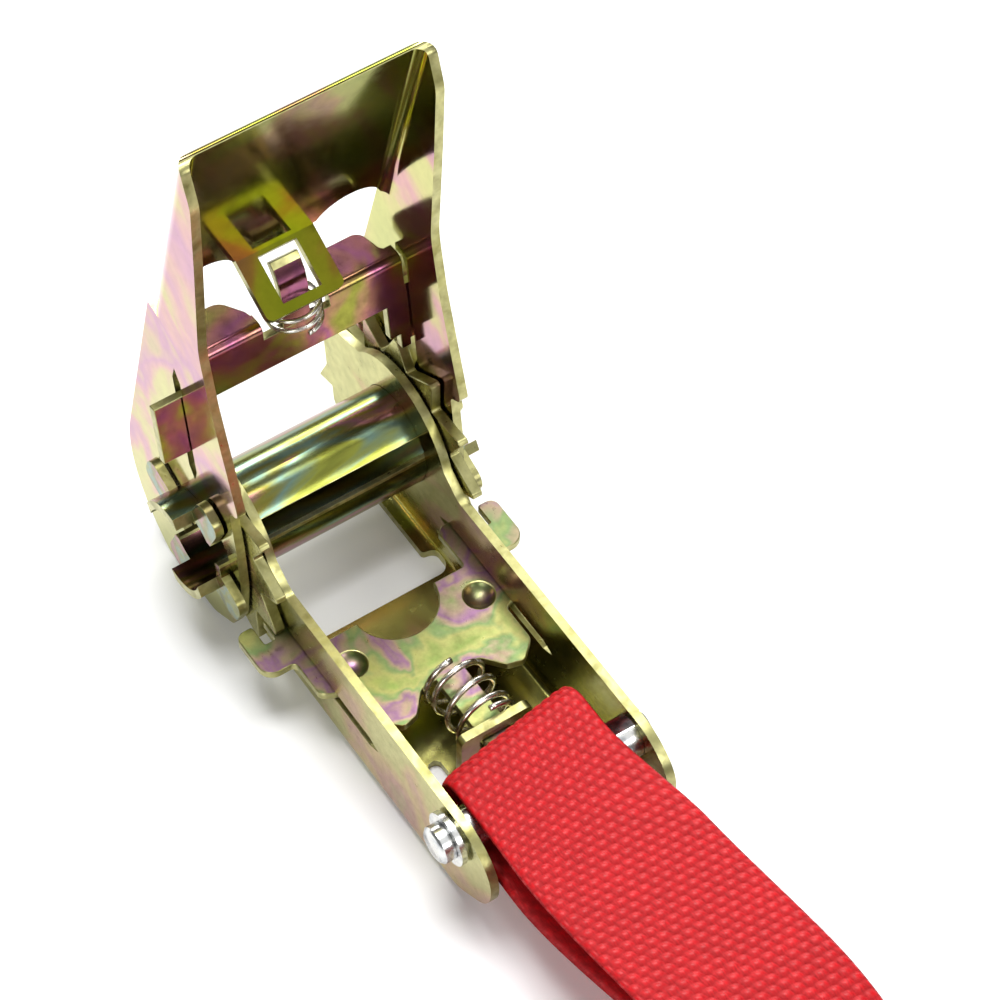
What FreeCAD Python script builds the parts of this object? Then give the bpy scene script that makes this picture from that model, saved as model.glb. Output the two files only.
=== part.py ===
import FreeCAD, Part

import math
import os

Vector = FreeCAD.Vector

# Every size is in millimetres. The row frame has its origin on the underside of the frame's
# base plate, below the frame pawl, X from the drum towards the strap pin, Z up. The shapes are
# drawn about the drum's axis and moved to the row frame when they are exported.
DRUM_X = -22.0
DRUM_Z = 16.8

# ---- Driving dimensions ----
SHEET = 1.3                 # thickness of the pressed steel sheet
FIT = 0.08                  # radial clearance of a shaft that turns in a hole
GAP = 0.3                   # clearance between flat parts that slide past each other

FRAME_INNER = 13.2          # from the middle plane to the inner face of a frame wall
FRAME_TOP = 1.5             # height of the walls' straight top edge
FRAME_BEND = 2.4            # outer radius of the bend between the base plate and a wall
WINDOW_EDGE = 11.0          # half width of the opening below the drum
WINDOW_REAR = 14.0          # where the base plate begins behind that opening
TAB_X = 43.3                # near face of the upright tab that the frame pawl's spring pushes on
TAB_HOLE_END = 57.4         # far end of the hole that the tab was cut from
TAB_RELIEF = (38.9, 46.0)   # notches beside the tab's bend
TAB_RELIEF_HALF = 7.6
TAB_HALF = 5.6
TAB_TOP = -4.2
TAB_SIDE_GAP = 0.6          # between the tab and the sides of its hole
PAWL_Z = -7.0               # height of the frame pawl's middle plane

DRUM_R = 7.4
DRUM_END = 22.4             # half length of the drum's two half shells
SLOT_ANGLE = 31.0           # direction that the webbing slot faces
SLOT_WIDTH = 3.2
PETAL_R = 12.3              # reach of the petals that hold the handle on the drum
PETAL_HALF = 2.6
PETAL_TURNS = (-56.0, 38.0) # from the middle of a half shell
TONGUE_HALF = 4.2

WHEEL_TIP_R = 16.7
WHEEL_ROOT_R = 12.2
WHEEL_TEETH = 12
WHEEL_T = 1.5
CREST_DEG = 2.4             # width of the flat crest of a tooth
FACE_Z = -6.25              # the locking face of a tooth lies just above the frame pawl

HANDLE_LEAN = 98.1          # direction of the handle's pawl slots, from +X towards +Z
HANDLE_BACK = 75.1          # direction of the palm plate, from +X towards +Z
CHEEK_R = 19.2              # round end of the handle's cheeks
PALM_TOP = 74.2             # along the palm plate, from the round end to the palm edge
PALM_FOOT = 38.8            # along the palm plate, where the plate begins
PLATE = (0.4, 0.4 + SHEET)  # the handle pawl's two faces, across the handle
BRACKET_HALF = 5.8
BRACKET_DROOP = 14.0        # how far past square the bracket is bent
BRACKET_REACH = 10.2

PIN_X = 56.2
PIN_Z = -2.8
PIN_R = 3.0

WEB_T = 1.5                 # thickness of the webbing
WEB_HALF = 12.4             # half width of the webbing
FLOOR_Z = -DRUM_Z
ROLL_R = 34.0
ROLL_CORE = 1.6
ROLL_X = 214.0
SEAM = (112.0, 140.0)       # where the looped end is sewn to the long part
COIL_STEPS = 16             # flat-sided lengths in a turn of a spring
COIL_SIDES = 6
TOOL_REACH = 30             # a cutting solid reaches this far, past both sides of the object

WALL_OUTER = FRAME_INNER + SHEET
WHEEL_IN = WALL_OUTER + GAP
WHEEL_OUT = WHEEL_IN + WHEEL_T
CHEEK_IN = WHEEL_OUT + GAP
CHEEK_OUT = CHEEK_IN + SHEET
PIN_HOLE_R = PIN_R + FIT
PETAL_IN = CHEEK_OUT + GAP
PETAL_OUT = PETAL_IN + SHEET
DRUM_HOLE_R = DRUM_R + FIT


def polar(radius, degrees):
    """A point in the side plane at this radius and angle from the drum's axis."""
    a = math.radians(degrees)
    return radius * math.cos(a), radius * math.sin(a)


def outline(points):
    """A closed wire in the side plane. Each point is x, z and the radius of its corner."""
    edges, starts, ends = [], [], []
    count = len(points)
    for i in range(count):
        here = Vector(points[i][0], 0, points[i][1])
        before = Vector(points[i - 1][0], 0, points[i - 1][1]) - here
        after = Vector(points[(i + 1) % count][0], 0, points[(i + 1) % count][1]) - here
        radius = points[i][2] if len(points[i]) > 2 else 0
        if radius <= 0:
            starts.append(here)
            ends.append(here)
            continue
        half = before.getAngle(after) / 2
        reach = min(radius / math.tan(half), 0.49 * before.Length, 0.49 * after.Length)
        first = here + before.normalize() * reach
        last = here + after.normalize() * reach
        centre_way = (before + after).normalize()
        centre = here + centre_way * (reach / math.cos(half))
        middle = centre - centre_way * (reach * math.tan(half))
        edges.append((i, Part.Arc(first, middle, last).toShape()))
        starts.append(first)
        ends.append(last)
    arcs = dict(edges)
    chain = []
    for i in range(count):
        if i in arcs:
            chain.append(arcs[i])
        following = starts[(i + 1) % count]
        if (following - ends[i]).Length > 1e-6:
            chain.append(Part.makeLine(ends[i], following))
    return Part.Wire(chain)


def prism(points, y_low, y_high):
    """The outline in the side plane, filled and drawn out from y_low to y_high."""
    face = Part.Face(outline(points))
    face.translate(Vector(0, y_low, 0))
    return face.extrude(Vector(0, y_high - y_low, 0))


def flat(points, z_low, z_high):
    """An outline of x, y and corner radius, filled and drawn out from z_low to z_high."""
    solid = prism(points, z_low, z_high)
    solid.rotate(Vector(0, 0, 0), Vector(1, 0, 0), 90)
    return solid.mirror(Vector(0, 0, 0), Vector(0, 1, 0))


def box(x, y, z):
    """A box given by its low and high X, Y and Z."""
    return Part.makeBox(x[1] - x[0], y[1] - y[0], z[1] - z[0], Vector(x[0], y[0], z[0]))


def rod(radius, y_low, y_high, x=0.0, z=0.0):
    """A round bar along Y."""
    return Part.makeCylinder(radius, y_high - y_low, Vector(x, y_low, z), Vector(0, 1, 0))


def both(solid):
    """A solid and its mirror image on the other side of the middle plane."""
    return [solid, solid.mirror(Vector(0, 0, 0), Vector(0, 1, 0))]


def needle(x_low, x_high, z_mid, width, point):
    """Corners of a long narrow slot with pointed ends."""
    half = width / 2
    return [(x_low, z_mid), (x_low + point, z_mid + half), (x_high - point, z_mid + half),
            (x_high, z_mid), (x_high - point, z_mid - half), (x_low + point, z_mid - half)]


def in_handle(u, w):
    """A point given along the handle (u) and towards its open side (w)."""
    along = polar(u, HANDLE_LEAN)
    across = polar(w, HANDLE_LEAN - 90)
    return along[0] + across[0], along[1] + across[1]


def ribbon(points, thickness, y_low, y_high):
    """A band that follows a line of points in the side plane."""
    left, right = [], []
    for i in range(len(points)):
        low = points[max(i - 1, 0)]
        high = points[min(i + 1, len(points) - 1)]
        dx, dz = high[0] - low[0], high[1] - low[1]
        length = math.hypot(dx, dz)
        nx, nz = -dz / length * thickness / 2, dx / length * thickness / 2
        left.append((points[i][0] + nx, points[i][1] + nz))
        right.append((points[i][0] - nx, points[i][1] - nz))
    return prism(left + right[::-1], y_low, y_high)


def coil(radius, wire, length, turns, start, way):
    """A wire wound on a cylinder that begins at start and runs along way, as short flat-sided lengths."""
    rise = length - wire
    steps = round(turns * COIL_STEPS)
    rings = []
    for i in range(steps + 1):
        angle = 2 * math.pi * turns * i / steps
        ring = []
        for k in range(COIL_SIDES):
            around = 2 * math.pi * k / COIL_SIDES
            reach = radius + wire / 2 * math.cos(around)
            height = wire / 2 + rise * i / steps + wire / 2 * math.sin(around)
            ring.append(Vector(reach * math.cos(angle), reach * math.sin(angle), height))
        rings.append(ring)
    corners = [(rings[0][0], rings[0][k], rings[0][k + 1]) for k in range(1, COIL_SIDES - 1)]
    corners += [(rings[-1][0], rings[-1][k], rings[-1][k + 1]) for k in range(1, COIL_SIDES - 1)]
    for i in range(steps):
        for k in range(COIL_SIDES):
            following = (k + 1) % COIL_SIDES
            corners.append((rings[i][k], rings[i + 1][k], rings[i + 1][following]))
            corners.append((rings[i][k], rings[i + 1][following], rings[i][following]))
    faces = [Part.Face(Part.makePolygon([a, b, c, a])) for a, b, c in corners]
    solid = Part.makeSolid(Part.makeShell(faces))
    if solid.Volume < 0:
        solid.reverse()
    turn = FreeCAD.Rotation(Vector(0, 0, 1), way)
    solid.Placement = FreeCAD.Placement(start, turn)
    return solid


# ---- Frame: one U-shaped pressing of sheet ----
low = FLOOR_Z
round_end = [polar(12.4, a) + (0,) for a in range(20, 141, 10)]
side = [(64.6, -9.5, 7), (57.6, -14.4, 12), (50.0, low, 20), (-7.0, low, 6), (-14.5, -13.6, 2.5),
        (-16.6, -10.4, 0.8), (-16.9, -7.6, 0), (-20.2, -8.4, 0), (-18.2, -4.0, 1.5), (-18.7, 0.5, 3),
        (-17.6, 5.6, 3), (-12.2, 7.2, 1)]
side = side + round_end[::-1] + [(15.2, FRAME_TOP, 3), (59.6, FRAME_TOP, 9),
                                 (64.9, -2.6, 6)]
body = prism(side, -WALL_OUTER, WALL_OUTER)
channel = box((-30, 70), (-FRAME_INNER, FRAME_INNER), (low + SHEET, 30))
inner_bend = FRAME_BEND - SHEET
shell = box((-30, 70), (-WALL_OUTER, WALL_OUTER), (low, 30))
lengthwise = [e for e in shell.Edges if e.BoundBox.XLength > 50 and e.BoundBox.ZMax < low + 1]
shell = shell.makeFillet(FRAME_BEND, lengthwise)
lengthwise = [e for e in channel.Edges if e.BoundBox.XLength > 50 and e.BoundBox.ZMax < low + 2]
channel = channel.makeFillet(inner_bend, lengthwise)
frame = body.common(shell).cut(channel)
NOTCH = WINDOW_EDGE + 1.9
notch_front = WINDOW_REAR - 4.0
window = flat([(-30, -WINDOW_EDGE), (notch_front - 0.4, -WINDOW_EDGE, 0.6), (notch_front, -NOTCH, 1.2),
               (WINDOW_REAR, -NOTCH, 1.8), (WINDOW_REAR, NOTCH, 1.8), (notch_front, NOTCH, 1.2),
               (notch_front - 0.4, WINDOW_EDGE, 0.6), (-30, WINDOW_EDGE)],
              low - 1, low + SHEET + inner_bend + 0.5)
hole_half = TAB_HALF + TAB_SIDE_GAP
tab_hole = flat([(TAB_X + SHEET, -hole_half), (TAB_HOLE_END, -hole_half, 2.0),
                 (TAB_HOLE_END, hole_half, 2.0), (TAB_X + SHEET, hole_half)],
                low - 1, low + SHEET + 1)
frame = frame.cut(window).cut(tab_hole)
for sign in (-1, 1):
    edge_y = sorted((sign * TAB_HALF, sign * TAB_RELIEF_HALF))
    relief = flat([(TAB_RELIEF[0], edge_y[0], 0.9), (TAB_RELIEF[1], edge_y[0], 0.4),
                   (TAB_RELIEF[1], edge_y[1], 0.9), (TAB_RELIEF[0], edge_y[1], 0.9)],
                  low - 1, low + SHEET + 1)
    frame = frame.cut(relief)
tab = box((TAB_X, TAB_X + SHEET), (-TAB_HALF, TAB_HALF), (low, TAB_TOP))
corners = [e for e in tab.Edges if e.BoundBox.XLength > 1 and e.BoundBox.ZMin > TAB_TOP - 1]
tab = tab.makeFillet(1.0, corners)
stem_hole = box((TAB_X - 2, TAB_X + 3), (-2.7, 2.7), (PAWL_Z - 1.0, PAWL_Z + 1.0))
frame = frame.fuse(tab).cut(stem_hole)
frame = frame.cut(rod(DRUM_HOLE_R, -TOOL_REACH, TOOL_REACH))
frame = frame.cut(rod(PIN_HOLE_R, -TOOL_REACH, TOOL_REACH, PIN_X, PIN_Z))
pawl_slot = prism(needle(10.6, 38.2, PAWL_Z, 1.9, 2.2), -TOOL_REACH, TOOL_REACH)
frame = frame.cut(pawl_slot)

# ---- Frame pawl: flat spring-loaded plate with an ear through each wall ----
ear_in = FRAME_INNER - GAP
half_plate = [(19.9, 0), (19.9, 11.2, 0.6), (13.4, 11.2, 0.6), (12.6, 12.2, 0.4), (12.6, 16.5, 0.2),
              (15.9, 16.5, 0.3), (15.9, 18.2, 0.3), (12.5, 18.2, 0.4), (12.5, 20.9, 2.4),
              (20.6, 20.9, 2.2), (20.6, 16.35, 0.8), (26.8, 16.35, 1.6), (28.6, 12.2, 0.8),
              (34.6, 12.2, 1.6), (37.0, 9.6, 1.0), (36.4, 7.2, 1.0), (33.4, 4.6, 1.4), (33.0, 0)]
half = flat(half_plate, PAWL_Z - SHEET / 2, PAWL_Z + SHEET / 2)
plate = half.fuse(half.mirror(Vector(0, 0, 0), Vector(0, 1, 0)))
bite = Part.makeCylinder(6.2, 4, Vector(19.4, 0, PAWL_Z - 2), Vector(0, 0, 1))
plate = plate.cut(bite)
STEM_END = 45.3
stem = flat([(31.0, -2.2), (STEM_END, -2.2, 0.8), (STEM_END, 2.2, 0.8), (31.0, 2.2)],
            PAWL_Z - SHEET / 2, PAWL_Z + SHEET / 2)
frame_pawl = plate.fuse(stem)
DIMPLE_X, DIMPLE_Y, DIMPLE_R = 25.0, 10.2, 3.0
for side_y in (-DIMPLE_Y, DIMPLE_Y):
    dish = Part.makeSphere(DIMPLE_R, Vector(DIMPLE_X, side_y, PAWL_Z + DIMPLE_R - 0.35))
    boss = Part.makeCylinder(2.6, 0.5, Vector(DIMPLE_X, side_y, PAWL_Z - SHEET / 2 - 0.5), Vector(0, 0, 1))
    frame_pawl = frame_pawl.fuse(boss).cut(dish)
frame_pawl = frame_pawl.removeSplitter()

SPRING_X = 33.15            # the spring bears on the plate's end here, and on the tab
frame_spring = coil(4.2, 0.9, TAB_X - SPRING_X - 0.1, 4.0, Vector(SPRING_X, 0, PAWL_Z), Vector(1, 0, 0))

# ---- Drum: two half shells with the webbing slot between them ----
def drum_half(middle):
    """A half shell centred on this angle, with two bent petals and a straight tongue at each end."""
    tube = rod(DRUM_R, -PETAL_OUT, PETAL_OUT).cut(rod(DRUM_R - SHEET, -TOOL_REACH, TOOL_REACH))
    tongue = rod(DRUM_R, -DRUM_END, DRUM_END).cut(rod(DRUM_R - SHEET, -TOOL_REACH, TOOL_REACH))
    tongue = tongue.common(box((2, 30), (-30, 30), (-TONGUE_HALF, TONGUE_HALF)))
    half = tube.fuse(tongue).common(box((SLOT_WIDTH / 2, 20), (-30, 30), (-20, 20)))
    for sign in (-1, 1):
        span = sorted((sign * PETAL_IN, sign * PETAL_OUT))
        for turn in PETAL_TURNS:
            corners = [(DRUM_R - SHEET, -PETAL_HALF), (PETAL_R, -PETAL_HALF, 2.0), (PETAL_R, PETAL_HALF, 2.0),
                       (DRUM_R - SHEET, PETAL_HALF)]
            petal = prism(corners, span[0], span[1]).cut(rod(DRUM_R - SHEET, -TOOL_REACH, TOOL_REACH))
            petal.rotate(Vector(0, 0, 0), Vector(0, 1, 0), -turn)
            half = half.fuse(petal)
    half.rotate(Vector(0, 0, 0), Vector(0, 1, 0), -middle)
    return half


upper = drum_half(SLOT_ANGLE + 90)
lower = drum_half(SLOT_ANGLE - 90)

# ---- Ratchet wheels: saw teeth that lock on the pawls' flat faces ----
pitch = 360.0 / WHEEL_TEETH
root_at = math.degrees(math.asin(FACE_Z / WHEEL_ROOT_R))
tip_at = math.degrees(math.asin(FACE_Z / WHEEL_TIP_R))
teeth = []
for i in range(WHEEL_TEETH):
    turn = i * pitch
    teeth.append(polar(WHEEL_ROOT_R, root_at + turn) + (0.5,))
    teeth.append(polar(WHEEL_TIP_R, tip_at + turn))
    teeth.append(polar(WHEEL_TIP_R, tip_at + CREST_DEG + turn) + (0.6,))
wheel = prism(teeth, WHEEL_IN, WHEEL_OUT).cut(rod(DRUM_R + 0.01, 0, 30))
wheel_right, wheel_left = both(wheel)

# ---- Handle: U-shaped lever with the palm plate at its far end ----
back_way = polar(1.0, HANDLE_BACK)
foot = polar(CHEEK_R, HANDLE_BACK + 90)


def on_back(along, inward):
    """A point on the palm plate's line: distance along it and distance in from its outer face."""
    normal = polar(1.0, HANDLE_BACK - 90)
    return (foot[0] + back_way[0] * along + normal[0] * inward,
            foot[1] + back_way[1] * along + normal[1] * inward)


arc = [polar(CHEEK_R, a) for a in range(170, 236, 6)]
cheek = [on_back(PALM_TOP, 0) + (2.2,), (2.9, 76.9, 2.6), (4.8, 71.4, 6.0), (4.4, 60.0, 30),
         (3.5, 43.0, 16), (5.4, 33.6, 20), (10.6, 15.9, 1.2), (8.2, 14.4, 1.0), (9.3, 7.0, 4),
         (9.8, -1.0, 8), (9.0, -8.5, 4), (6.8, -12.9, 2.4), (1.5, -16.1, 4), (-10.6, -16.1, 1.0)]
cheek = cheek + arc[::-1] + [foot]
BEND_R = 3.0
inward_way = polar(1.0, HANDLE_BACK - 90)
palm_turn = FreeCAD.Rotation(Vector(back_way[0], 0, back_way[1]), Vector(0, -1, 0),
                             Vector(inward_way[0], 0, inward_way[1]), "XYZ")
palm_place = FreeCAD.Placement(Vector(foot[0], 0, foot[1]), palm_turn)


def on_palm(solid):
    """Moves a solid drawn as along, across and inward onto the palm plate's own directions."""
    solid.Placement = palm_place.multiply(solid.Placement)
    return solid


outer = prism(cheek, -CHEEK_OUT, CHEEK_OUT)
hollow = box((-60, 120), (-CHEEK_IN, CHEEK_IN), (SHEET, 90))
hollow = hollow.makeFillet(BEND_R - SHEET, [e for e in hollow.Edges if e.BoundBox.XLength > 50
                                            and e.BoundBox.ZMax < SHEET + 1])
below_palm = box((-60, PALM_FOOT), (-CHEEK_IN, CHEEK_IN), (-20, 60))
handle = outer.cut(on_palm(hollow)).cut(on_palm(below_palm))
for sign in (-1, 1):
    edge_y = sorted((sign * (CHEEK_OUT - BEND_R), sign * (CHEEK_OUT + 1)))
    sharp = box((PALM_FOOT - 2, 120), edge_y, (-1, BEND_R))
    rounding_start = Vector(PALM_FOOT - 5, sign * (CHEEK_OUT - BEND_R), BEND_R)
    rounding = Part.makeCylinder(BEND_R, 140, rounding_start, Vector(1, 0, 0))
    handle = handle.cut(on_palm(sharp.cut(rounding)))
for sign in (-1, 1):
    scoop = Part.makeCylinder(5.2, 12, Vector(PALM_FOOT - 2.0, sign * 11.0, -4), Vector(0, 0, 1))
    keep = box((PALM_FOOT - 20, PALM_FOOT + 10), (-CHEEK_IN, CHEEK_IN), (-5, 4))
    handle = handle.cut(on_palm(scoop.common(keep)))
tongue = box((PALM_FOOT - SHEET, PALM_FOOT), (-BRACKET_HALF, BRACKET_HALF), (0, BRACKET_REACH))
tongue = tongue.makeFillet(1.0, [e for e in tongue.Edges if e.BoundBox.XLength > 1
                                 and e.BoundBox.ZMin > BRACKET_REACH - 1])
tongue = tongue.cut(box((PALM_FOOT - 4, PALM_FOOT + 1), (-2.9, 2.9), (2.0, 8.8)))
tongue.rotate(Vector(PALM_FOOT, 0, 0), Vector(0, 1, 0), -BRACKET_DROOP)
join = box((PALM_FOOT - SHEET, PALM_FOOT + 4), (-BRACKET_HALF, BRACKET_HALF), (0, SHEET))
handle = handle.fuse(on_palm(tongue.fuse(join)))
pawl_way = [in_handle(u, w) for u, w in needle(11.8, 32.8, (PLATE[0] + PLATE[1]) / 2, 2.0, 2.2)]
handle = handle.cut(prism(pawl_way, -TOOL_REACH, TOOL_REACH))
handle = handle.cut(rod(DRUM_HOLE_R, -TOOL_REACH, TOOL_REACH)).removeSplitter()

# ---- Handle pawl: crossbar with two finger flanges, a bent stem, and an arm and ear each side ----
ARM_LOW = WHEEL_TIP_R + 0.06
FACE_LOW, FACE_TOP = 25.2, 33.0
FLANGE_END = -5.7
arm_in = WALL_OUTER + GAP
arm_out = CHEEK_IN - GAP


def plank(corners, y):
    """A piece of the handle pawl from corners along (u) and across (w) the handle."""
    return prism([in_handle(c[0], c[1]) + tuple(c[2:]) for c in corners], y[0], y[1])


def bar(u_low, u_high, y):
    """A straight piece of the handle pawl's plate."""
    return plank([(u_low, PLATE[0]), (u_high, PLATE[0]), (u_high, PLATE[1]), (u_low, PLATE[1])], y)


angle = [(FACE_LOW, PLATE[0]), (FACE_TOP - SHEET, PLATE[0], 0.4), (FACE_TOP - SHEET, -1.0), (FACE_TOP, -1.0),
         (FACE_TOP, PLATE[1], 1.6), (FACE_LOW, PLATE[1])]
crossbar = plank(angle, (-arm_out, arm_out))
handle_place = FreeCAD.Placement(Vector(0, 0, 0), FreeCAD.Rotation(Vector(0, 1, 0), 90 - HANDLE_LEAN))
for sign in (-1, 1):
    finger = [(0, sign * 5.0), (-2.0, sign * 5.4, 2.0), (FLANGE_END, sign * 7.4, 2.2),
              (FLANGE_END, sign * 14.2, 1.6), (-1.5, sign * 14.8, 1.0), (0, sign * 15.8)]
    flange = flat(finger if sign > 0 else finger[::-1], FACE_TOP - SHEET, FACE_TOP)
    flange.Placement = handle_place.multiply(flange.Placement)
    crossbar = crossbar.fuse(flange)
spring_seat = flat([(-20, -5.0), (20, -5.0), (20, 5.0), (-20, 5.0)], FACE_TOP - 2.4, FACE_TOP + 1)
spring_seat.Placement = handle_place.multiply(spring_seat.Placement)
crossbar = crossbar.cut(spring_seat)
stem_line = [in_handle(29.5, 1.05), in_handle(32.6, 1.1), in_handle(35.0, 1.5), in_handle(37.0, 1.7),
             in_handle(39.0, 1.4), in_handle(40.4, 0.7), in_handle(41.3, 0.1)]
pieces = [ribbon(stem_line, SHEET - 0.1, -2.1, 2.1)]
for sign in (-1, 1):
    shoulder = (19.4, FACE_LOW + 1, FRAME_INNER, arm_out)
    arm = (ARM_LOW, 26.0, arm_in, arm_out)
    ear = (18.0, 28.0, arm_out - 1.0, 22.0)
    for u_low, u_high, y_low, y_high in (shoulder, arm, ear):
        pieces.append(bar(u_low, u_high, sorted((sign * y_low, sign * y_high))))
handle_pawl = crossbar.fuse(pieces).removeSplitter()

spring_start = in_handle(FACE_TOP - 2.3, PLATE[0] + SHEET / 2)
spring_way = Vector(polar(1.0, HANDLE_LEAN)[0], 0, polar(1.0, HANDLE_LEAN)[1])
handle_spring = coil(3.6, 0.7, 4.2, 2.5, Vector(spring_start[0], 0, spring_start[1]), spring_way)

# ---- Strap pin and its retaining ring ----
PIN_TIP_R = 2.7
GROOVE = (-WALL_OUTER - 1.3, -WALL_OUTER - 0.4)
strap_pin = rod(PIN_R, GROOVE[1], WALL_OUTER + 0.2, PIN_X, PIN_Z)
strap_pin = strap_pin.fuse(rod(2.3, GROOVE[0] - 0.1, GROOVE[1] + 0.1, PIN_X, PIN_Z))
tip = rod(PIN_TIP_R, -WALL_OUTER - 3.2, GROOVE[0], PIN_X, PIN_Z)
tip = tip.makeChamfer(0.4, [e for e in tip.Edges if e.BoundBox.YMax < -WALL_OUTER - 3.1])
head = rod(3.5, WALL_OUTER + 0.1, WALL_OUTER + 0.6, PIN_X, PIN_Z)
head = head.makeFillet(0.3, [e for e in head.Edges if e.BoundBox.YMin > WALL_OUTER + 0.5])
strap_pin = strap_pin.fuse(tip).fuse(head).removeSplitter()
ring = rod(3.9, GROOVE[0] + 0.05, GROOVE[1] - 0.05, PIN_X, PIN_Z).cut(rod(2.32, -30, 30, PIN_X, PIN_Z))
ring = ring.cut(box((PIN_X - 1.4, PIN_X + 1.4), (-30, 0), (PIN_Z - 6, PIN_Z)))

# ---- Webbing: looped round the pin, sewn to itself, then rolled up ----
loop_r = PIN_R + 0.15 + WEB_T / 2
LOOP_SLACK = 4.2            # the loop stands off the pin by this much on the buckle side
loop = [(PIN_X - LOOP_SLACK + loop_r * math.cos(math.radians(a)), PIN_Z + loop_r * math.sin(math.radians(a)))
        for a in range(90, 271, 12)]
touch = WEB_T + 0.14


def ease(x, x_low, x_high, low_value, high_value):
    """A smooth change of height from one value to another between two places."""
    t = min(max((x - x_low) / (x_high - x_low), 0.0), 1.0)
    t = t * t * (3 - 2 * t)
    return low_value + (high_value - low_value) * t


top_z = PIN_Z + loop_r
bottom_z = PIN_Z - loop_r
rest_z = FLOOR_Z + WEB_T / 2
SLOPE = (96, 172)           # where the upper layer comes down to the floor
JOIN = (62, 112)            # where the lower layer comes up against the upper one
long_part, short_part = [], []
for x in list(range(60, 201, 5)) + [203.5]:
    high_layer = ease(x, *SLOPE, top_z, rest_z + touch)
    if x <= SEAM[1]:
        short_part.append((x, high_layer))
    long_part.append((x, max(ease(x, *JOIN, bottom_z, high_layer - touch), rest_z)))
path = short_part[::-1] + loop + long_part
strap = ribbon(path, WEB_T, -WEB_HALF, WEB_HALF)
roll_z = FLOOR_Z + ROLL_R
roll = rod(ROLL_R, -WEB_HALF, WEB_HALF, ROLL_X, roll_z).cut(rod(ROLL_CORE, -20, 20, ROLL_X, roll_z))
STITCH_HALF, STITCH_LENGTH, STITCH_STEP = 9.5, 1.6, 6
stitches = []
stitch_x = SEAM[0] + 4
while stitch_x < SEAM[1] - 3:
    z_here = ease(stitch_x, *SLOPE, top_z, rest_z + touch) + WEB_T / 2
    stitches.append(box((stitch_x, stitch_x + STITCH_LENGTH), (-STITCH_HALF, STITCH_HALF),
                        (z_here - 0.3, z_here + 0.35)))
    stitch_x += STITCH_STEP

NODES = {
    "frame": frame,
    "frame_pawl": frame_pawl,
    "frame_pawl_spring": frame_spring,
    "drum_half_upper": upper,
    "drum_half_lower": lower,
    "ratchet_wheel_left": wheel_left,
    "ratchet_wheel_right": wheel_right,
    "handle": handle,
    "handle_pawl": handle_pawl,
    "handle_pawl_spring": handle_spring,
    "strap_pin": strap_pin,
    "pin_retaining_ring": ring,
    "strap": strap,
    "strap_roll": roll,
    "strap_stitching": Part.makeCompound(stitches),
}
os.makedirs("parts", exist_ok=True)
for name, shape in NODES.items():
    moved = shape.copy()
    moved.translate(Vector(DRUM_X, 0, DRUM_Z))
    moved.exportStep("parts/" + name + ".step")
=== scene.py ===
import math

import bmesh
import bpy
import numpy as np
from mathutils import Matrix, Vector


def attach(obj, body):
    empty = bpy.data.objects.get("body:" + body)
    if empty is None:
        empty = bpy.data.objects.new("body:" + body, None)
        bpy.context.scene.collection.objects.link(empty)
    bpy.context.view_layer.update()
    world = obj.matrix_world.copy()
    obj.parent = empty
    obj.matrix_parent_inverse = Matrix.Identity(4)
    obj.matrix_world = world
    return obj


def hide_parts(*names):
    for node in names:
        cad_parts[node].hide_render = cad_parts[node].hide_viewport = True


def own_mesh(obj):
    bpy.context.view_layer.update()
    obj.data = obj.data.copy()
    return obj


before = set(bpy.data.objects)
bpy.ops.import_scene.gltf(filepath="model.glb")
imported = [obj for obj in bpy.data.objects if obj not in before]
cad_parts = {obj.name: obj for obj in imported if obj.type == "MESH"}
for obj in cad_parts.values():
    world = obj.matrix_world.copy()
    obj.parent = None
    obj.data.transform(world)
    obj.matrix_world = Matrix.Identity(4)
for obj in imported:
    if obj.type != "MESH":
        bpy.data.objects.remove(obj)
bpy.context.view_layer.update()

# ---- Camera ----
# A long lens from above the strap's end, looking down into the channel. It aims at a point level with
# the drum's axis, above the frame pawl, and the shift puts that point low and left of the middle.
MM = 0.001
AIM = Vector((6.0, 0.0, 16.8)) * MM
AIM_DISTANCE = 470.6 * MM
AZIMUTH, ELEVATION, ROLL = math.radians(57.06), math.radians(56.13), math.radians(-0.33)
right_way = Vector((math.cos(AZIMUTH), math.sin(AZIMUTH), 0))
back_way = Vector((math.sin(AZIMUTH) * math.cos(ELEVATION), -math.cos(AZIMUTH) * math.cos(ELEVATION),
                   math.sin(ELEVATION)))
up_way = back_way.cross(right_way)
right_way, up_way = (right_way * math.cos(ROLL) + up_way * math.sin(ROLL),
                     up_way * math.cos(ROLL) - right_way * math.sin(ROLL))
lens = bpy.data.cameras.new("camera")
LENS_LENGTH, SENSOR_WIDTH = 127.97, 36.0      # both in mm of the camera itself
lens.sensor_width, lens.lens = SENSOR_WIDTH, LENS_LENGTH
lens.shift_x, lens.shift_y = 0.0720, 0.1187
lens.clip_start, lens.clip_end = 0.02, 20
camera = bpy.data.objects.new("camera", lens)
turn = Matrix((right_way, up_way, back_way)).transposed()
camera.matrix_world = Matrix.Translation(AIM + back_way * AIM_DISTANCE) @ turn.to_4x4()
bpy.context.scene.collection.objects.link(camera)
bpy.context.scene.camera = camera


# ---- Light and floor ----
# A pale matt table in a dim white tent: one large soft light overhead, a long strip behind, and three
# weaker ones, so that plated sheet shows long soft bands and its inner sides stay dark.
def linear(colour):
    """An sRGB hex colour as linear red, green, blue and alpha."""
    parts = np.array([int(colour[i:i + 2], 16) for i in (1, 3, 5)]) / 255
    parts = np.where(parts <= 0.04045, parts / 12.92, ((parts + 0.055) / 1.055) ** 2.4)
    return (*(float(p) for p in parts), 1.0)


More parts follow.
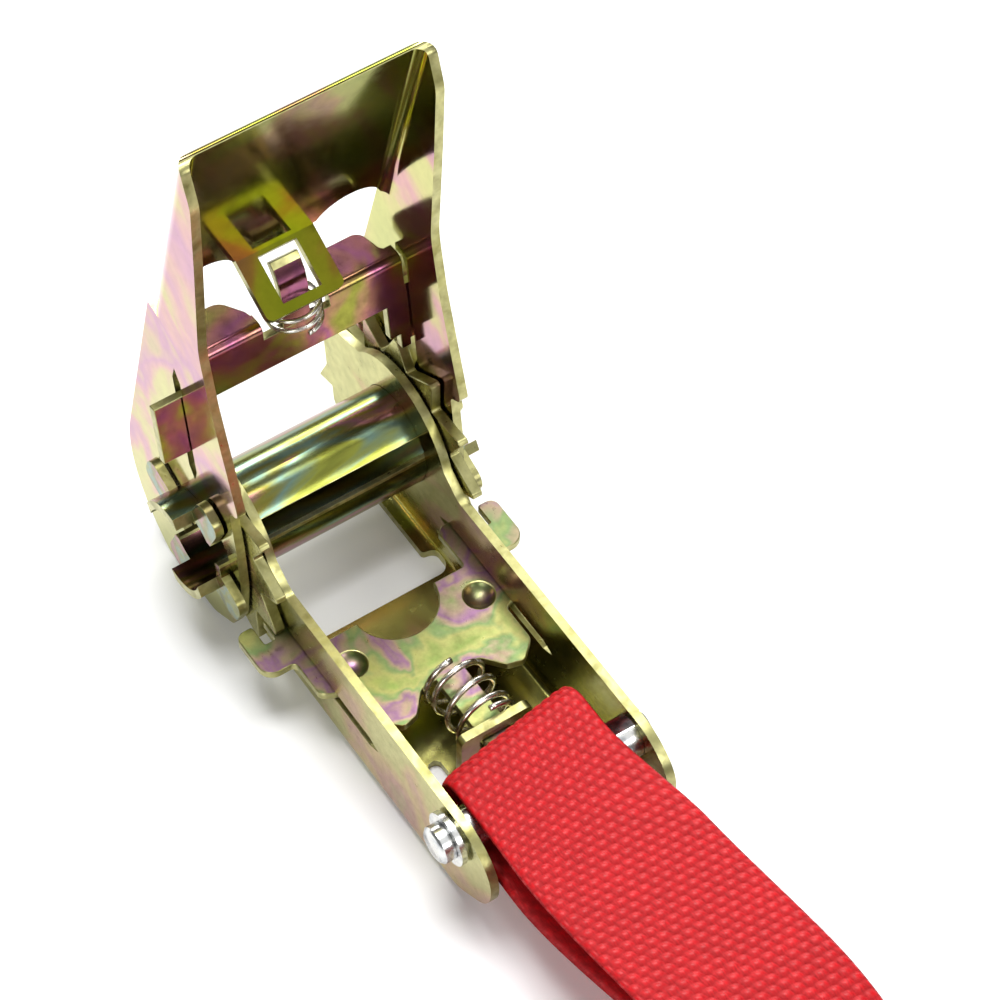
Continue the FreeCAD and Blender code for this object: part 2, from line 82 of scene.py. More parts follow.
def add_node(tree, kind, settings=None, links=None):
    """Adds a shader node. settings are its properties or, by name or number, its inputs' values;
    links go from another node's output to an input of this one."""
    node = tree.nodes.new(kind)
    for key, value in (settings or {}).items():
        if isinstance(key, str) and hasattr(node, key):
            setattr(node, key, value)
        else:
            node.inputs[key].default_value = value
    for key, (source, output) in (links or {}).items():
        tree.links.new(source.outputs[output], node.inputs[key])
    return node


def new_material(name):
    """An empty node material."""
    material = bpy.data.materials.new(name)
    material.use_nodes = True
    material.node_tree.nodes.clear()
    return material


def soft_light(name, place, aim, size, power):
    """A white rectangular area light at a place, turned to a point. Metres and watts."""
    data = bpy.data.lights.new(name, "AREA")
    data.shape, data.size, data.size_y = "RECTANGLE", size[0], size[1]
    data.energy = power
    light = bpy.data.objects.new(name, data)
    way = Vector(place) - Vector(aim)
    turned = way.to_track_quat("Z", "Y").to_matrix().to_4x4()
    light.matrix_world = Matrix.Translation(Vector(place)) @ turned
    bpy.context.scene.collection.objects.link(light)


sky = bpy.data.worlds.new("tent")
sky.use_nodes = True
sky.node_tree.nodes["Background"].inputs[0].default_value = linear("#F0F1F2")
sky.node_tree.nodes["Background"].inputs[1].default_value = 0.22
bpy.context.scene.world = sky
bpy.context.scene.view_settings.view_transform = "Standard"
soft_light("overhead", (-0.15, 0.05, 0.75), (0, 0, 0.02), (0.42, 0.42), 6.6)
soft_light("back_strip", (-0.55, 0.35, 0.30), (0, 0, 0.03), (0.60, 0.12), 3.2)
soft_light("front", (0.45, -0.55, 0.45), (0, 0, 0.03), (0.30, 0.30), 2.2)
soft_light("side", (0.50, 0.19, 0.36), (-0.02, 0, 0.06), (0.26, 0.20), 0.9)
soft_light("upper_side", (0.30, 0.20, 0.58), (-0.02, 0, 0.06), (0.34, 0.34), 0.30)

FLOOR_HALF, FLOOR_LINES = 2.5, 21
floor_mesh = bpy.data.meshes.new("floor")
side = np.linspace(-FLOOR_HALF, FLOOR_HALF, FLOOR_LINES)
gx, gy = np.meshgrid(side, side)
corners = np.stack([gx, gy, np.zeros_like(gx)], -1).reshape(-1, 3)
index = np.arange(FLOOR_LINES ** 2).reshape(FLOOR_LINES, FLOOR_LINES)
quads = np.stack([index[:-1, :-1], index[:-1, 1:], index[1:, 1:], index[1:, :-1]], -1).reshape(-1, 4)
floor_mesh.from_pydata(corners, [], quads.tolist())
floor = bpy.data.objects.new("floor", floor_mesh)
bpy.context.scene.collection.objects.link(floor)
floor_paint = new_material("matt_white_laminate")
tree = floor_paint.node_tree
place = add_node(tree, "ShaderNodeTexCoord")
grain = add_node(tree, "ShaderNodeTexNoise", {"Scale": 9.0, "Detail": 3.0},
                 {"Vector": (place, "Object")})
tone = add_node(tree, "ShaderNodeValToRGB", links={0: (grain, 0)})
tone.color_ramp.elements[0].color = linear("#F3F4F5")
tone.color_ramp.elements[1].color = linear("#FBFBFB")
shader = add_node(tree, "ShaderNodeBsdfPrincipled", {"Roughness": 0.8}, {"Base Color": (tone, 0)})
add_node(tree, "ShaderNodeOutputMaterial", links={0: (shader, 0)})
floor.data.materials.append(floor_paint)


# ---- Frame ----
# The channel that holds everything: 1.3 mm mild steel sheet, blanked, pierced and bent to a U, then
# zinc plated and dipped in yellow chromate. The dip leaves pale green-gold with pink and violet clouds.
def chromate_steel(name, tones, patch_mm, shift_mm, roughness, stretch=(1, 1, 1), mottle=0.3, wave=0.1,
                   painted_dark_reflection=None):
    """Zinc plated sheet with a chromate film. The film's thickness drifts over patch_mm, which moves
    its interference colour along tones. A cloud of 1.6 mm spots darkens it by up to mottle, and a grain
    of 0.4 mm and sheet waves of 9 mm, as high as wave, unsettle its reflections. The last argument, if
    given, is a painted dark reflection where the sheet mirrors dark parts: a darker, greener tint comes
    in between two heights, within a half width, all in mm, and its last value is that tint."""
    SPOT_MM, GRAIN_MM, WAVE_MM = 1.6, 0.4, 9.0
    PAINTED_REFLECTION_FADE_MM = 1.6
    material = new_material(name)
    tree = material.node_tree
    place = add_node(tree, "ShaderNodeTexCoord")
    moved = add_node(tree, "ShaderNodeMapping", {1: [v * MM for v in shift_mm], 3: stretch},
                     {0: (place, "Object")})
    cloud = add_node(tree, "ShaderNodeTexNoise", {"Scale": 1 / (patch_mm * MM), "Detail": 3.0,
                                                  "Roughness": 0.5, "Distortion": 0.5},
                     {"Vector": (moved, 0)})
    film = add_node(tree, "ShaderNodeValToRGB", links={0: (cloud, 0)})
    ramp = film.color_ramp
    while len(ramp.elements) < len(tones):
        ramp.elements.new(0.5)
    for element, (position, colour) in zip(ramp.elements, tones):
        element.position, element.color = position, linear(colour)
    fine = add_node(tree, "ShaderNodeTexNoise", {"Scale": 1 / (SPOT_MM * MM), "Detail": 4.0,
                                                 "Roughness": 0.6}, {"Vector": (moved, 0)})
    spots = add_node(tree, "ShaderNodeMapRange", {1: 0.35, 2: 0.7, 3: 1.0, 4: 1.0 - mottle},
                     {0: (fine, 0)})
    shade = add_node(tree, "ShaderNodeMix", {"data_type": "RGBA", "blend_type": "MULTIPLY", 0: 1.0},
                     {6: (film, 0), 7: (spots, 0)})
    # Painted reflection: between two heights and within a half width the colour is multiplied by a
    # darker tint, which stands in for the dark parts that the sheet mirrors.
    if painted_dark_reflection:
        low, high, half_width, tint = painted_dark_reflection
        split = add_node(tree, "ShaderNodeSeparateXYZ", links={0: (place, "Object")})
        height = add_node(tree, "ShaderNodeMapRange", {1: low * MM, 2: high * MM}, {0: (split, 2)})
        off_middle = add_node(tree, "ShaderNodeMath", {"operation": "ABSOLUTE"}, {0: (split, 1)})
        width = add_node(tree, "ShaderNodeMapRange",
                         {1: half_width * MM, 2: (half_width - PAINTED_REFLECTION_FADE_MM) * MM},
                         {0: (off_middle, 0)})
        painted_reflection_mask = add_node(tree, "ShaderNodeMath", {"operation": "MULTIPLY"},
                              {0: (height, 0), 1: (width, 0)})
        shade = add_node(tree, "ShaderNodeMix", {"data_type": "RGBA", "blend_type": "MULTIPLY",
                                                 7: linear(tint)}, {0: (painted_reflection_mask, 0), 6: (shade, 2)})
    grit = add_node(tree, "ShaderNodeTexNoise", {"Scale": 1 / (GRAIN_MM * MM), "Detail": 2.0},
                    {"Vector": (moved, 0)})
    dull = add_node(tree, "ShaderNodeMapRange",
                    {1: 0.3, 2: 0.75, 3: roughness * 0.8, 4: roughness * 1.35}, {0: (fine, 0)})
    waves = add_node(tree, "ShaderNodeTexNoise", {"Scale": 1 / (WAVE_MM * MM), "Detail": 1.0},
                     {"Vector": (place, "Object")})
    soft_bump = add_node(tree, "ShaderNodeBump", {"Strength": wave, "Distance": 0.25 * MM},
                         {"Height": (waves, 0)})
    bump = add_node(tree, "ShaderNodeBump", {"Strength": 0.10, "Distance": 0.015 * MM},
                    {"Height": (grit, 0), "Normal": (soft_bump, 0)})
    shader = add_node(tree, "ShaderNodeBsdfPrincipled", {"Metallic": 1.0},
                      {"Base Color": (shade, 2), "Roughness": (dull, 0), "Normal": (bump, 0)})
    add_node(tree, "ShaderNodeOutputMaterial", links={0: (shader, 0)})
    return material


def deburred(node, name, body, steel, sheared, roll_mm):
    """The CAD piece's own shape with its doubles merged, its flat faces joined up, and its sheared
    edges rolled over by roll_mm. A face is a sheared edge where it is not much wider than the sheet:
    its area over half the length of its sharp corners is its width."""
    SHEARED_WIDTH_MM = 1.7
    SHARP_CORNER, SHARP_EDGE, FLAT = math.radians(60), math.radians(32), math.radians(0.4)
    SAME_POINT = 0.002 * MM
    made = bmesh.new()
    made.from_mesh(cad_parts[node].data)
    made.transform(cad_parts[node].matrix_world)
    bmesh.ops.remove_doubles(made, verts=made.verts, dist=SAME_POINT)
    bmesh.ops.dissolve_limit(made, angle_limit=FLAT, verts=made.verts, edges=made.edges)
    for face in made.faces:
        face.smooth = True
        sharp = sum(edge.calc_length() for edge in face.edges if edge.calc_face_angle(0) > SHARP_CORNER)
        face.material_index = int(sharp > 0 and face.calc_area() / (sharp / 2) < SHEARED_WIDTH_MM * MM)
    mesh = bpy.data.meshes.new(name)
    made.to_mesh(mesh)
    made.free()
    mesh.set_sharp_from_angle(angle=SHARP_EDGE)
    mesh.materials.append(steel)
    mesh.materials.append(sheared)
    piece = bpy.data.objects.new(name, mesh)
    bpy.context.scene.collection.objects.link(piece)
    if roll_mm > 0:
        rolled = piece.modifiers.new("rolled_edge", "BEVEL")
        rolled.width, rolled.segments = roll_mm * MM, 2
        rolled.limit_method, rolled.angle_limit = "ANGLE", SHARP_EDGE
        rolled.material = 1
        evened = piece.modifiers.new("even_faces", "WEIGHTED_NORMAL")
        evened.keep_sharp = True
    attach(piece, body)
    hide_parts(node)


pale_gold = [(0.30, "#A4A058"), (0.42, "#BCB970"), (0.52, "#B4AE66"), (0.58, "#BCA26C"),
             (0.66, "#B28878"), (0.78, "#9CA05E")]
pale_edge = [(0.30, "#9C985E"), (0.50, "#B8B47E"), (0.70, "#8E8A56")]
edge_steel = chromate_steel("yellow_chromate_sheared_edge", pale_edge, 4, (1, 1, 1), 0.33)
frame_steel = chromate_steel("yellow_chromate_frame", pale_gold, 16, (3, 8, 1), 0.22, mottle=0.18)
deburred("frame", "frame_channel", "frame_body", frame_steel, edge_steel, 0.14)


# ---- Frame pawl ----
# The flat plate with two dimples that slides in the walls' slots: 1.3 mm sheet with a matter, older
# looking film that has gone from green to violet in broad clouds.
cloudy = [(0.30, "#879A56"), (0.40, "#A3A266"), (0.46, "#7A905E"), (0.51, "#A39078"), (0.56, "#8E6A88"),
          (0.62, "#9C8676"), (0.72, "#7C9254")]
pawl_steel = chromate_steel("yellow_chromate_plate", cloudy, 9, (4, 2, 0), 0.34)
deburred("frame_pawl", "frame_pawl_plate", "frame_pawl_body", pawl_steel,
         edge_steel, 0.14)


# ---- Frame pawl spring ----
# A compression spring of 0.9 mm bright drawn wire round the pawl's stem, between the plate and the
# frame's upright tab. The plate slides 3.5 mm against it.
def tube(name, rings, material, uv=None):
    """A closed skin over rings of points, one ring after another, with a fan at each end. Its points
    are in metres, and uv is the place of each of them on the flat cloth."""
    count, around = rings.shape[:2]
    points = rings.reshape(-1, 3)
    ends = np.stack([rings[0].mean(0), rings[-1].mean(0)])
    index = np.arange(count * around).reshape(count, around)
    beside = np.roll(index, -1, axis=1)
    quads = np.stack([index[:-1], beside[:-1], beside[1:], index[1:]], -1).reshape(-1, 4)
    first = np.stack([np.full(around, count * around), beside[0], index[0]], -1)
    last = np.stack([np.full(around, count * around + 1), index[-1], beside[-1]], -1)
    mesh = bpy.data.meshes.new(name)
    mesh.from_pydata(np.concatenate([points, ends]), [], quads.tolist() + first.tolist() + last.tolist())
    if uv is not None:
        layer = mesh.uv_layers.new(name="cloth")
        corner = np.empty(len(mesh.loops), dtype=np.int64)
        mesh.loops.foreach_get("vertex_index", corner)
        flat = np.concatenate([uv.reshape(-1, 2), uv[0].mean(0)[None], uv[-1].mean(0)[None]])
        layer.data.foreach_set("uv", flat[corner].astype(np.float32).ravel())
    mesh.polygons.foreach_set("use_smooth", np.ones(len(mesh.polygons), dtype=bool))
    mesh.materials.append(material)
    piece = bpy.data.objects.new(name, mesh)
    bpy.context.scene.collection.objects.link(piece)
    return piece


def wound_wire(name, start, way, across, radius, wire, length, turns, closed, material):
    """A helix in mm: as the angle goes round the axis, the wire's middle rises along it, by less near
    both ends where closed is above 0. Its round section lies in the plane of the axis and the radius."""
    along, sideways = Vector(way).normalized(), Vector(across).normalized()
    STEPS_IN_TURN, SIDES = 28, 10
    axes = np.array([sideways, along.cross(sideways), along])
    angle = np.linspace(0, 2 * math.pi * turns, int(turns * STEPS_IN_TURN) + 1)[:, None]
    section = np.linspace(0, 2 * math.pi, SIDES, endpoint=False)[None, :]
    reach = radius + wire / 2 * np.cos(section) + 0 * angle
    share = angle / angle[-1]
    share = share - closed * np.sin(2 * math.pi * share) / (2 * math.pi)
    height = wire / 2 + (length - wire) * share + wire / 2 * np.sin(section)
    local = np.stack([reach * np.cos(angle), reach * np.sin(angle), height], -1)
    return tube(name, (np.array(start) + local @ axes) * MM, material)


wire_steel = new_material("bright_drawn_wire")
tree = wire_steel.node_tree
place = add_node(tree, "ShaderNodeTexCoord")
draw = add_node(tree, "ShaderNodeTexNoise", {"Scale": 1 / (1.5 * MM), "Detail": 1.0},
                {"Vector": (place, "Object")})
tone = add_node(tree, "ShaderNodeValToRGB", links={0: (draw, 0)})
tone.color_ramp.elements[0].position, tone.color_ramp.elements[0].color = 0.3, linear("#B9B4A8")
tone.color_ramp.elements[1].position, tone.color_ramp.elements[1].color = 0.7, linear("#E4E0D6")
dull = add_node(tree, "ShaderNodeMapRange", {3: 0.16, 4: 0.34}, {0: (draw, 0)})
shader = add_node(tree, "ShaderNodeBsdfPrincipled", {"Metallic": 1.0},
                  {"Base Color": (tone, 0), "Roughness": (dull, 0)})
add_node(tree, "ShaderNodeOutputMaterial", links={0: (shader, 0)})

DRUM = np.array([-22.0, 0.0, 16.8])           # the drum's axis, mm
PLATE_START = DRUM + (33.15, 0, -7.0)         # where the spring bears on the plate
FRAME_SPRING_LENGTH, FRAME_SPRING_GIVE = 10.05, 3.9
FRAME_COIL_R, FRAME_WIRE, FRAME_TURNS, FRAME_CLOSED = 4.2, 0.9, 4.0, 0.5
spring = wound_wire("frame_pawl_coil", PLATE_START, (1, 0, 0), (0, 0, 1), FRAME_COIL_R, FRAME_WIRE,
                    FRAME_SPRING_LENGTH, FRAME_TURNS, FRAME_CLOSED, wire_steel)
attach(spring, "frame_body")
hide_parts("frame_pawl_spring")
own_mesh(spring)


# ---- Drum ----
# Two half shells of the same sheet, rolled to a half round and put into the walls with a slot
# between them for the webbing. Their ends are bent out in petals outside the handle's cheeks, and
# rolling has drawn the film's colours out in bands along the axis.
banded = [(0.28, "#5A602C"), (0.38, "#8A8E40"), (0.45, "#6E887A"), (0.51, "#7C7836"), (0.58, "#A06C76"),
          (0.64, "#967E34"), (0.74, "#4E4C24")]
drum_steel = chromate_steel("yellow_chromate_drum", banded, 5, (1, 7, 3), 0.2, stretch=(1, 0.18, 1),
                            mottle=0.2)
for half in ("upper", "lower"):
    deburred("drum_half_" + half, "drum_shell_" + half, "drum", drum_steel,
             edge_steel, 0.12)


# ---- Ratchet wheels ----
# Blanked discs with twelve saw teeth, one outside each wall and keyed on the shells, so the edges
# are bright where the pawls rub.
wheel_steel = chromate_steel("yellow_chromate_wheel", pale_gold, 11, (9, 5, 2), 0.26)
for side_name in ("left", "right"):
    deburred("ratchet_wheel_" + side_name, "saw_wheel_" + side_name, "drum",
             wheel_steel, edge_steel, 0.1)


# ---- Handle ----
# The lever: 1.3 mm sheet bent to a deep U, with a palm plate across its far end and a small window
# bracket bent in from the plate's foot. It is smooth enough to mirror. Its film is pale on the cheeks,
# with pink clouds, and the plate and the bracket get a painted dark olive reflection.
rosy = [(0.30, "#A8AC5C"), (0.43, "#B6B466"), (0.50, "#B8AE6A"), (0.55, "#BC8C86"), (0.61, "#AE7A94"),
        (0.68, "#B8987A"), (0.78, "#A2AA62")]
# From 47 mm up and within 16.6 mm of the middle, the plate and the bracket are tinted darker olive: a
# painted reflection of the dark parts they mirror.
handle_steel = chromate_steel("yellow_chromate_handle", rosy, 21, (2, 4, 6), 0.11, wave=0.05,
                              mottle=0.12, painted_dark_reflection=(47, 51, 16.6, "#AEB456"))
deburred("handle", "lever", "handle_body", handle_steel, edge_steel, 0.16)


# ---- Handle pawl ----
# The sliding crossbar that drops into the teeth: a bent plate with two finger flanges and a stem
# through the bracket. Handling has left its film violet and brassy.
violet = [(0.30, "#90903C"), (0.42, "#A87264"), (0.50, "#985A78"), (0.58, "#A46868"), (0.66, "#A09648"),
          (0.78, "#6E8440")]
slider_steel = chromate_steel("yellow_chromate_slider", violet, 12, (5, 1, 3), 0.2)
deburred("handle_pawl", "pawl_slider", "handle_pawl_body", slider_steel,
         edge_steel, 0.12)

# Its spring, of 0.7 mm wire, is round the stem between the crossbar and the bracket.
LEAN = math.radians(98.1)                     # the pawl slides this way, from +X towards +Z
lean_way = np.array([math.cos(LEAN), 0, math.sin(LEAN)])
cross_way = np.array([math.sin(LEAN), 0, -math.cos(LEAN)])
STEM_OFFSET = 1.05                            # from the drum's axis, square to the slide
STEM_LINE = DRUM + cross_way * STEM_OFFSET
HANDLE_SPRING_START, HANDLE_SPRING_LENGTH, SLIDER_TRAVEL = 30.7, 4.2, 2.2
HANDLE_COIL_R, HANDLE_WIRE, HANDLE_TURNS, HANDLE_CLOSED = 3.6, 0.7, 2.5, 0.3
spring = wound_wire("handle_pawl_coil", STEM_LINE + lean_way * HANDLE_SPRING_START, lean_way, cross_way,
                    HANDLE_COIL_R, HANDLE_WIRE, HANDLE_SPRING_LENGTH, HANDLE_TURNS, HANDLE_CLOSED,
                    wire_steel)
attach(spring, "handle_body")
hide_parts("handle_pawl_spring")
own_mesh(spring)


# ---- Strap pin and its retaining ring ----
# A turned pin across the walls that the webbing loops round, held by a spring ring in a groove.
# Both are clear zinc plated, so they look silver beside the yellow sheet.
silver = [(0.30, "#9FA2A4"), (0.45, "#D2D4D4"), (0.60, "#E6E6E2"), (0.75, "#B9BABA")]
pin_steel = chromate_steel("clear_zinc_pin", silver, 2.2, (2, 2, 2), 0.24, mottle=0.2)
deburred("strap_pin", "webbing_pin", "frame_body", pin_steel, pin_steel, 0.0)
deburred("pin_retaining_ring", "spring_ring", "frame_body", pin_steel,
         pin_steel, 0.0)


# ---- Webbing ----
# One length of 25 mm woven polyester webbing. Its end goes round the pin and is sewn back to it;
# the rest runs down to the table and is rolled up. Warp ribs stand out as rows of small pillows.
WEB_HALF = 12.4
PIN_X, PIN_Z = 34.2, 14.0
LOOP_R, SLACK = 3.9, 4.2      # the loop's middle line, and how far it stands off the pin
REST, TOUCH = 0.88, 1.78      # height of a layer's middle on the table, and of one on another
SEAM = (90.0, 118.0)
FREE_END = 38.0               # from here on the two layers are free of the pin
NEAR_PIN = (34, 52)           # the pin's hold on the webbing's edges fades out along here
SLOPE = (74, 150)             # where the upper layer comes down
JOIN = (40, 90)               # where the lower layer comes up to the upper one
WANDER = 3.4                  # how far the webbing runs off to one side
WANDER_OUT, WANDER_BACK = (44, 84), (100, 150)
ROLL_X, ROLL_R, ROLL_PITCH, ROLL_TURNS = 192.0, 33.25, 1.56, 19.6
RIBS, PICK = 14, 1.36         # pillows across, and the length of a row of them
CLOTH_HALF = 0.42             # half thickness without the pillows


def eased(x, low, high, start, end):
    """A smooth step: start up to low, end beyond high, with level ends between."""
    t = np.clip((x - low) / (high - low), 0, 1)
    return start + (end - start) * t * t * (3 - 2 * t)


def top_height(x):
    """The upper layer's middle: level with the top of the loop, then down to lie on the lower one."""
    return eased(x, *SLOPE, PIN_Z + LOOP_R, REST + TOUCH)


def sideways(x):
    """How far the webbing wanders to one side between the buckle and the roll."""
    return eased(x, *WANDER_OUT, 0, WANDER) - eased(x, *WANDER_BACK, 0, WANDER)


def webbing_line():
    """The webbing's middle line in the side plane: back from the sewn end along the top layer, half
    round the pin, out again below, down to the table, and into a spiral whose radius falls steadily."""
    STEP, LOOP_DEGREES, ROLL_DEGREES = 0.5, 3, 1.5
    DRAWN_BACK = 0.3          # how far the loop leans back below the pin, for each mm of depth
    x = np.arange(SEAM[1], FREE_END - 0.1, -STEP)
    top = top_height(x)
    angle = np.radians(np.arange(90, 271, LOOP_DEGREES))
    loop_z = PIN_Z + LOOP_R * np.sin(angle)
    loop_x = PIN_X - SLACK + LOOP_R * np.cos(angle) + DRAWN_BACK * np.maximum(PIN_Z - loop_z, 0)
    loop = np.stack([loop_x, loop_z], -1)
    out_x = np.arange(FREE_END, ROLL_X, STEP)
    layer = top_height(out_x) - TOUCH
    # The lower layer rises from the bottom of the loop to just under the top layer.
    rise = eased(out_x, *JOIN, 0, 1)
    out = np.maximum(PIN_Z - LOOP_R + (layer - (PIN_Z - LOOP_R)) * rise, REST)
    turn = np.radians(np.arange(0, 360 * ROLL_TURNS, ROLL_DEGREES))
    radius = ROLL_R - ROLL_PITCH * turn / (2 * math.pi)
    roll = np.stack([ROLL_X + radius * np.sin(turn), REST + ROLL_R - radius * np.cos(turn)], -1)
    return np.concatenate([np.stack([x, top], -1), loop, np.stack([out_x, out], -1), roll])


def along(line, stations):
    """The points of a line at these distances from its start, and the line's whole length."""
    gone = np.concatenate([[0], np.cumsum(np.linalg.norm(np.diff(line, axis=0), axis=1))])
    return np.stack([np.interp(stations, gone, line[:, k]) for k in (0, 1)], -1), gone[-1]


def woven_band(name, line, stations, outer, inner, depth, material):
    """A band along the line, with outer and inner columns on its two sides. Across it, t runs from -1
    to 1; its half thickness is a flat curve that closes at the edges, plus pillows of half-round
    section both ways, as high as depth. They stand in rows, one row to a pick and one pillow to a warp
    rib, and each row is half a rib further across than the one before, as a plain weave has it. Near
    the pin the band is squeezed, moved to one side and pulled askew, by small amounts in mm."""
    SQUEEZE, ASIDE, ASKEW, ASKEW_MIDDLE = 1.4, 1.2, 0.16, 1.5
    REACH, EDGE_POWER = 0.4, 16
    middle, _ = along(line, stations)
    ahead, _ = along(line, stations + REACH)
    behind, _ = along(line, np.maximum(stations - REACH, 0))
    tangent = ahead - behind
    tangent /= np.linalg.norm(tangent, axis=1)[:, None]
    normal = np.stack([-tangent[:, 1], tangent[:, 0]], -1)
    x = middle[:, 0]
    near_pin = eased(x, *NEAR_PIN, 1, 0)
    half = WEB_HALF - SQUEEZE * near_pin
    drift = sideways(x) - ASIDE * near_pin
    rings, marks, relief = [], [], []
    for side, t in ((1, np.linspace(-1, 1, inner)), (-1, np.linspace(1, -1, outer))):
        row, part = np.divmod(stations[:, None] / PICK + 0.5 * (side > 0), 1)
        rib = (t[None, :] + 1) / 2 * RIBS + 0.5 * (row % 2) + 0.25 * (part - 0.5)
        across = 1 - (2 * (rib - np.floor(rib)) - 1) ** 2
        over = 1 - (2 * part - 1) ** 2
        pillow = np.sqrt(np.clip(across * over, 0, 1))
        edge = np.clip(1 - np.abs(t[None, :]) ** EDGE_POWER, 0, 1)
        lift = side * (CLOTH_HALF * np.sqrt(edge) + depth * pillow * edge)
        y = t[None, :] * half[:, None] + drift[:, None]
        skew = -ASKEW * (y + ASKEW_MIDDLE) * near_pin[:, None]
        rings.append(np.stack([x[:, None] + normal[:, :1] * lift + skew, y,
                               middle[:, 1:] + normal[:, 1:] * lift], -1))
        marks.append(np.stack(np.broadcast_arrays(t[None, :] * WEB_HALF, stations[:, None]), -1))
        relief.append(pillow + 0 * y)
    band = tube(name, np.concatenate(rings, 1) * MM, material, np.concatenate(marks, 1) * MM)
    raised = band.data.attributes.new("relief", "FLOAT", "POINT")
    heights = np.append(np.concatenate(relief, 1).ravel(), [0, 0])
    raised.data.foreach_set("value", heights.astype(np.float32))
    return band


red_polyester = new_material("red_woven_polyester")
tree = red_polyester.node_tree
mark = add_node(tree, "ShaderNodeUVMap", {"uv_map": "cloth"})
# Each pillow is a bundle of yarns, drawn 0.22 mm wide so that they show, that shines on its crown. The
# grooves between the pillows get painted shade and are dull, and the crowns a slight painted highlight.
YARN_WIDTH, YARN_LENGTH = 0.22 * MM, 1.1 * MM
yarns = add_node(tree, "ShaderNodeMapping", {3: (1 / YARN_WIDTH, 1 / YARN_LENGTH, 1)}, {0: (mark, 0)})
fibre = add_node(tree, "ShaderNodeTexNoise", {"Scale": 1.0, "Detail": 3.0, "Roughness": 0.6},
                 {"Vector": (yarns, 0)})
place = add_node(tree, "ShaderNodeTexCoord")
dye = add_node(tree, "ShaderNodeTexNoise", {"Scale": 1 / (3.2 * MM), "Detail": 2.0},
               {"Vector": (place, "Object")})
fibre_tone = add_node(tree, "ShaderNodeValToRGB", links={0: (fibre, 0)})
shaded, lit = fibre_tone.color_ramp.elements
shaded.position, shaded.color = 0.3, linear("#A4060E")
lit.position, lit.color = 0.7, linear("#CC161E")
dye_tone = add_node(tree, "ShaderNodeMapRange", {1: 0.3, 2: 0.7, 3: 0.9, 4: 1.05}, {0: (dye, 0)})
dyed = add_node(tree, "ShaderNodeMix", {"data_type": "RGBA", "blend_type": "MULTIPLY", 0: 1.0},
                {6: (fibre_tone, 0), 7: (dye_tone, 0)})
raised = add_node(tree, "ShaderNodeAttribute", {"attribute_name": "relief"})
# Painted shade and highlight: by the pillows' height, the colour goes from 0.55 in the grooves to 1.05
# on the crowns.
painted_groove_shade = add_node(tree, "ShaderNodeMapRange", {1: 0.0, 2: 0.9, 3: 0.55, 4: 1.05}, {0: (raised, 2)})
cloth_tone = add_node(tree, "ShaderNodeMix", {"data_type": "RGBA", "blend_type": "MULTIPLY", 0: 1.0},
                      {6: (dyed, 2), 7: (painted_groove_shade, 0)})
fibre_bump = add_node(tree, "ShaderNodeBump", {"Strength": 0.5, "Distance": 0.04 * MM},
                      {"Height": (fibre, 0)})
gloss = add_node(tree, "ShaderNodeMapRange", {1: 0.2, 2: 0.9, 3: 0.85, 4: 0.42}, {0: (raised, 2)})
shader = add_node(tree, "ShaderNodeBsdfPrincipled", {"Specular IOR Level": 0.30},
                  {"Base Color": (cloth_tone, 2), "Roughness": (gloss, 0), "Normal": (fibre_bump, 0)})
add_node(tree, "ShaderNodeOutputMaterial", links={0: (shader, 0)})

line = webbing_line()
_, whole = along(line, np.array([0.0]))
FINE_RUN = (8.0, 93.0)                        # this run of the upper layer gets the closest rings
LOWER_RUN = 154.4                             # from the loop to where the roll's own piece begins
SPLIT = SEAM[1] - (PIN_X - SLACK) + math.pi * LOOP_R + LOWER_RUN
near = np.concatenate([np.arange(0, FINE_RUN[0], 0.4), np.arange(*FINE_RUN, PICK / 6),
                       np.arange(FINE_RUN[1], SPLIT, PICK / 3), [SPLIT]])
LOOP_COLUMNS, LOOP_PILLOW = (85, 29), 0.46    # columns outside and inside, and a pillow's height
looped = woven_band("webbing_loop", line, near, *LOOP_COLUMNS, LOOP_PILLOW, red_polyester)
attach(looped, "frame_body")
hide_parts("strap")
# The roll's outer turn shows its weave. The turns inside it have a ring every few degrees instead.
# Its pillows are pressed flatter.
OUTER_TURN, INNER_RINGS = 225, 620
ROLL_COLUMNS, ROLL_PILLOW = (57, 15), 0.28
outer_turn = np.arange(SPLIT, SPLIT + OUTER_TURN, PICK / 4)
left = 1 - np.linspace(0, 1, INNER_RINGS)[1:]
inner_turns = whole - (whole - SPLIT - OUTER_TURN) * left ** 2
stations = np.concatenate([outer_turn, inner_turns])
rolled = woven_band("webbing_roll", line, stations, *ROLL_COLUMNS, ROLL_PILLOW, red_polyester)
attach(rolled, "frame_body")
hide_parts("strap_roll")


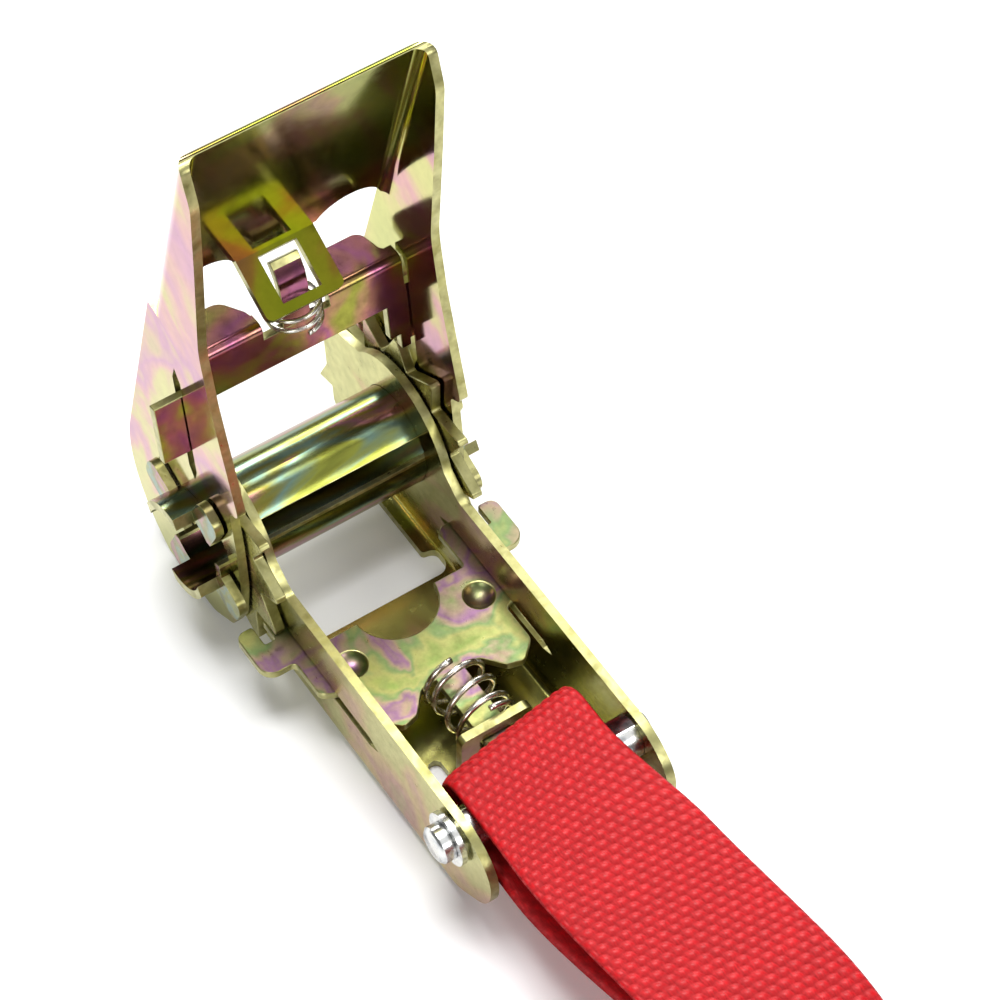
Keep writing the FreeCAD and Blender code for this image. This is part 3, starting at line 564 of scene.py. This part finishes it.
# ---- Sewing ----
# Four bar tacks of heavy red polyester thread close the loop. Each is a zigzag of slanted stitches
# across the webbing, pulled slightly into it, and one thread runs on to the next.
TACK_COUNT, TACK_STEP, TACK_HALF = 4, 6, 9.5
FIRST_TACK = 4.8                              # from the sewn end of the seam
STITCHES, SLANT, ON_WEBBING = 14, 2.4, 0.94   # in a tack; and the thread's height over the middle
THREAD_END, THREAD_SWELL, THREAD_ARCH = 0.09, 0.24, 0.10


def tack_row(x_at, height, stitches, lean):
    """Rings of slanted stitches: each is a spindle, thick in the middle, from one side of the row to
    the other, and they alternate."""
    rows = []
    u = np.linspace(0, 1, 7)
    ring = np.linspace(0, 2 * math.pi, 6, endpoint=False)
    for k in range(stitches):
        y = float(sideways(x_at)) - TACK_HALF + 2 * TACK_HALF * (k + u) / stitches
        x = x_at + lean * (u - 0.5) * (1 if k % 2 else -1)
        thick = THREAD_END + THREAD_SWELL * np.sin(math.pi * u)
        z = height + THREAD_ARCH * np.sin(math.pi * u)
        rows.append(np.stack([x[:, None] + thick[:, None] * np.cos(ring), y[:, None] + 0 * ring[None, :],
                              z[:, None] + thick[:, None] * np.sin(ring)], -1))
    return np.concatenate(rows)


thread = new_material("red_polyester_thread")
tree = thread.node_tree
place = add_node(tree, "ShaderNodeTexCoord")
twist = add_node(tree, "ShaderNodeTexNoise", {"Scale": 1 / (0.3 * MM), "Detail": 2.0},
                 {"Vector": (place, "Object")})
tone = add_node(tree, "ShaderNodeValToRGB", links={0: (twist, 0)})
tone.color_ramp.elements[0].color = linear("#C4141E")
tone.color_ramp.elements[1].color = linear("#F0484E")
shader = add_node(tree, "ShaderNodeBsdfPrincipled", {"Roughness": 0.42}, {"Base Color": (tone, 0)})
add_node(tree, "ShaderNodeOutputMaterial", links={0: (shader, 0)})
tacks = []
for number in range(TACK_COUNT):
    x_at = SEAM[0] + FIRST_TACK + TACK_STEP * number
    height = float(top_height(x_at)) + ON_WEBBING
    tacks.append(tack_row(x_at, height, STITCHES, SLANT))
sewing = tube("sewing_thread", np.concatenate(tacks) * MM, thread)
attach(sewing, "frame_body")
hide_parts("strap_stitching")
